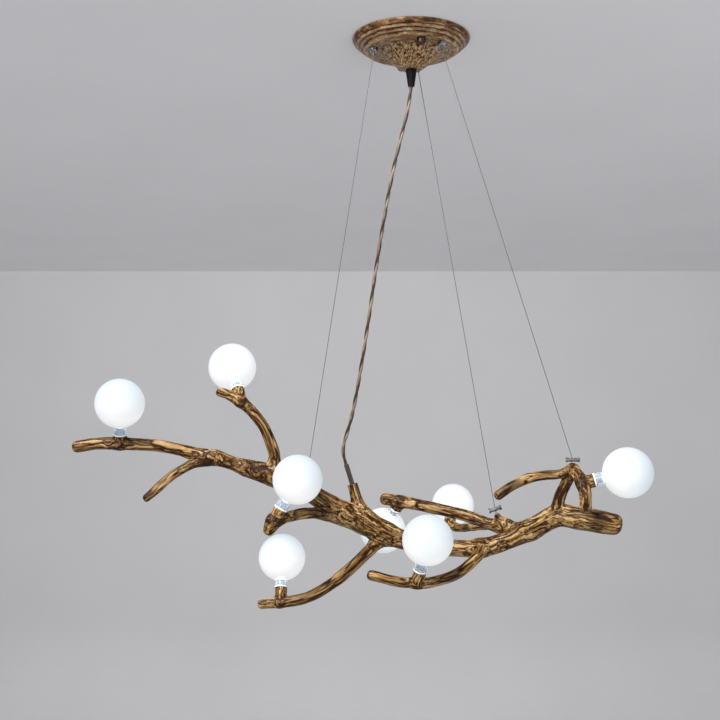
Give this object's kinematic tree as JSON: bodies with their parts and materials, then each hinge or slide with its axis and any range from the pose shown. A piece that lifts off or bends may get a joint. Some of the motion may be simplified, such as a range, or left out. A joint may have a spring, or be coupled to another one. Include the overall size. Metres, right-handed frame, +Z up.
{
  "type": "branch chandelier",
  "caption": "Branch-shaped resin frame with frosted globe lamps, hung level from a stepped round canopy by splayed steel wires and a power cord.",
  "frame": {"origin": "middle of the two ceiling slots, in the plane where the bar and the canopy rim meet the ceiling", "axes": "+Z up into the ceiling, +X to the right along the branch seen from the front, +Y away from the viewer"},
  "size_m": [0.9305, 0.4581, 0.972],
  "materials": {
    "zinc_steel": "satin",
    "canopy_bark": "satin",
    "bark_resin": "satin",
    "dark_nut": "gloss",
    "black_relief": "matte",
    "driver_white": "satin",
    "terminal_white": "satin",
    "lead_jacket": "satin",
    "chrome_fitting": "polished",
    "wire_steel": "satin",
    "cord_jacket": "satin",
    "clear_sleeve": "gloss",
    "seat_white": "satin",
    "holder_grey": "satin",
    "frosted_glass": "satin",
    "bulb_glass": "gloss"
  },
  "bodies": {
    "canopy": {"ceiling_bar": "zinc_steel", "stud_bar": "zinc_steel", "centre_bush": "zinc_steel", "canopy_studs": "zinc_steel", "canopy_shell": "canopy_bark", "canopy_hub": "bark_resin", "cap_nuts": "dark_nut", "hub_nipple": "zinc_steel", "nipple_nut": "zinc_steel", "strain_relief": "black_relief", "driver_case": "driver_white", "driver_lid": "driver_white", "terminal_block": "terminal_white", "canopy_leads": "lead_jacket", "wire_grips": "chrome_fitting", "grip_nuts": "zinc_steel"},
    "branch_frame": {"trunk": "bark_resin", "trunk_core": "zinc_steel", "far_left_limb": "bark_resin", "left_twig": "bark_resin", "fork_limb": "bark_resin", "low_left_limb": "bark_resin", "hanging_limb": "bark_resin", "long_back_limb": "bark_resin", "short_back_limb": "bark_resin", "front_limb": "bark_resin", "strut_limb": "bark_resin", "arch_limb": "bark_resin", "right_limb": "bark_resin", "cord_stub": "bark_resin", "branch_leads": "lead_jacket", "cord_sleeve": "clear_sleeve", "seat_rings": "seat_white", "lamp_holders": "holder_grey", "anchor_studs": "chrome_fitting", "cross_barrels": "chrome_fitting", "barrel_caps": "chrome_fitting"},
    "wire_1": {"suspension_wire_1": "wire_steel"},
    "wire_2": {"suspension_wire_2": "wire_steel"},
    "wire_3": {"suspension_wire_3": "wire_steel"},
    "cord": {"power_cord": "cord_jacket"},
    "plunger_1": {"grip_plunger_1": "chrome_fitting"},
    "plunger_2": {"grip_plunger_2": "chrome_fitting"},
    "plunger_3": {"grip_plunger_3": "chrome_fitting"},
    "globe_1": {"globe_1": "frosted_glass"},
    "bulb_1": {"bulb_1": "bulb_glass"},
    "globe_2": {"globe_2": "frosted_glass"},
    "bulb_2": {"bulb_2": "bulb_glass"},
    "globe_3": {"globe_3": "frosted_glass"},
    "bulb_3": {"bulb_3": "bulb_glass"},
    "globe_4": {"globe_4": "frosted_glass"},
    "bulb_4": {"bulb_4": "bulb_glass"},
    "globe_5": {"globe_5": "frosted_glass"},
    "bulb_5": {"bulb_5": "bulb_glass"},
    "globe_6": {"globe_6": "frosted_glass"},
    "bulb_6": {"bulb_6": "bulb_glass"},
    "globe_7": {"globe_7": "frosted_glass"},
    "bulb_7": {"bulb_7": "bulb_glass"},
    "globe_8": {"globe_8": "frosted_glass"},
    "bulb_8": {"bulb_8": "bulb_glass"}
  },
  "joints": [
    {"name": "sway", "type": "hinge", "parent": "canopy", "child": "branch_frame", "pos_m": [-0.024, 0, 0.22], "axis": [0, 1, 0], "range_deg": [-3, 3]},
    {"name": "wire_1_sway", "type": "hinge", "parent": "canopy", "child": "wire_1", "pos_m": [-0.0652, -0.01931, -0.0335], "axis": [0, 1, 0], "range_deg": [-4.3, 4.3]},
    {"name": "wire_2_sway", "type": "hinge", "parent": "canopy", "child": "wire_2", "pos_m": [0.01587, 0.06612, -0.0335], "axis": [0, 1, 0], "range_deg": [-4.3, 4.3]},
    {"name": "wire_3_sway", "type": "hinge", "parent": "canopy", "child": "wire_3", "pos_m": [0.04933, -0.04681, -0.0335], "axis": [0, 1, 0], "range_deg": [-4.3, 4.3]},
    {"name": "cord_sway", "type": "hinge", "parent": "canopy", "child": "cord", "pos_m": [0, 0, -0.081], "axis": [0, 1, 0], "range_deg": [-4.5, 4.5]},
    {"name": "grip_release_1", "type": "slide", "parent": "canopy", "child": "plunger_1", "axis": [0, 0, 1], "range_m": [0, 0.0025], "stiffness_N_per_m": 400, "springref_m": -0.0015},
    {"name": "grip_release_2", "type": "slide", "parent": "canopy", "child": "plunger_2", "axis": [0, 0, 1], "range_m": [0, 0.0025], "stiffness_N_per_m": 400, "springref_m": -0.0015},
    {"name": "grip_release_3", "type": "slide", "parent": "canopy", "child": "plunger_3", "axis": [0, 0, 1], "range_m": [0, 0.0025], "stiffness_N_per_m": 400, "springref_m": -0.0015},
    {"name": "globe_1_off", "type": "slide", "parent": "branch_frame", "child": "globe_1", "axis": [0.0601, -0.3603, 0.9309], "range_m": [0, 0.014]},
    {"name": "bulb_1_out", "type": "slide", "parent": "branch_frame", "child": "bulb_1", "axis": [0.0601, -0.3603, 0.9309], "range_m": [0, 0.009]},
    {"name": "globe_2_off", "type": "slide", "parent": "branch_frame", "child": "globe_2", "axis": [-0.2507, 0.6217, 0.742], "range_m": [0, 0.014]},
    {"name": "bulb_2_out", "type": "slide", "parent": "branch_frame", "child": "bulb_2", "axis": [-0.2507, 0.6217, 0.742], "range_m": [0, 0.009]},
    {"name": "globe_3_off", "type": "slide", "parent": "branch_frame", "child": "globe_3", "axis": [0.5026, -0.0101, 0.8645], "range_m": [0, 0.014]},
    {"name": "bulb_3_out", "type": "slide", "parent": "branch_frame", "child": "bulb_3", "axis": [0.5026, -0.0101, 0.8645], "range_m": [0, 0.009]},
    {"name": "globe_4_off", "type": "slide", "parent": "branch_frame", "child": "globe_4", "axis": [0, 0.4311, 0.9023], "range_m": [0, 0.014]},
    {"name": "bulb_4_out", "type": "slide", "parent": "branch_frame", "child": "bulb_4", "axis": [0, 0.4311, 0.9023], "range_m": [0, 0.009]},
    {"name": "globe_5_off", "type": "slide", "parent": "branch_frame", "child": "globe_5", "axis": [-0.4192, 0.499, -0.7585], "range_m": [0, 0.014]},
    {"name": "bulb_5_out", "type": "slide", "parent": "branch_frame", "child": "bulb_5", "axis": [-0.4192, 0.499, -0.7585], "range_m": [0, 0.009]},
    {"name": "globe_6_off", "type": "slide", "parent": "branch_frame", "child": "globe_6", "axis": [0.18, 0.8798, 0.4399], "range_m": [0, 0.014]},
    {"name": "bulb_6_out", "type": "slide", "parent": "branch_frame", "child": "bulb_6", "axis": [0.18, 0.8798, 0.4399], "range_m": [0, 0.009]},
    {"name": "globe_7_off", "type": "slide", "parent": "branch_frame", "child": "globe_7", "axis": [0.2094, -0.339, 0.9172], "range_m": [0, 0.014]},
    {"name": "bulb_7_out", "type": "slide", "parent": "branch_frame", "child": "bulb_7", "axis": [0.2094, -0.339, 0.9172], "range_m": [0, 0.009]},
    {"name": "globe_8_off", "type": "slide", "parent": "branch_frame", "child": "globe_8", "axis": [0.9656, -0.1246, 0.2284], "range_m": [0, 0.014]},
    {"name": "bulb_8_out", "type": "slide", "parent": "branch_frame", "child": "bulb_8", "axis": [0.9656, -0.1246, 0.2284], "range_m": [0, 0.009]}
  ],
  "couplings": [
    {"joint": "wire_1_sway", "follows": "sway", "ratio": 1.3558},
    {"joint": "wire_2_sway", "follows": "sway", "ratio": 1.3282},
    {"joint": "wire_3_sway", "follows": "sway", "ratio": 1.3682},
    {"joint": "cord_sway", "follows": "sway", "ratio": 1.4468}
  ]
}
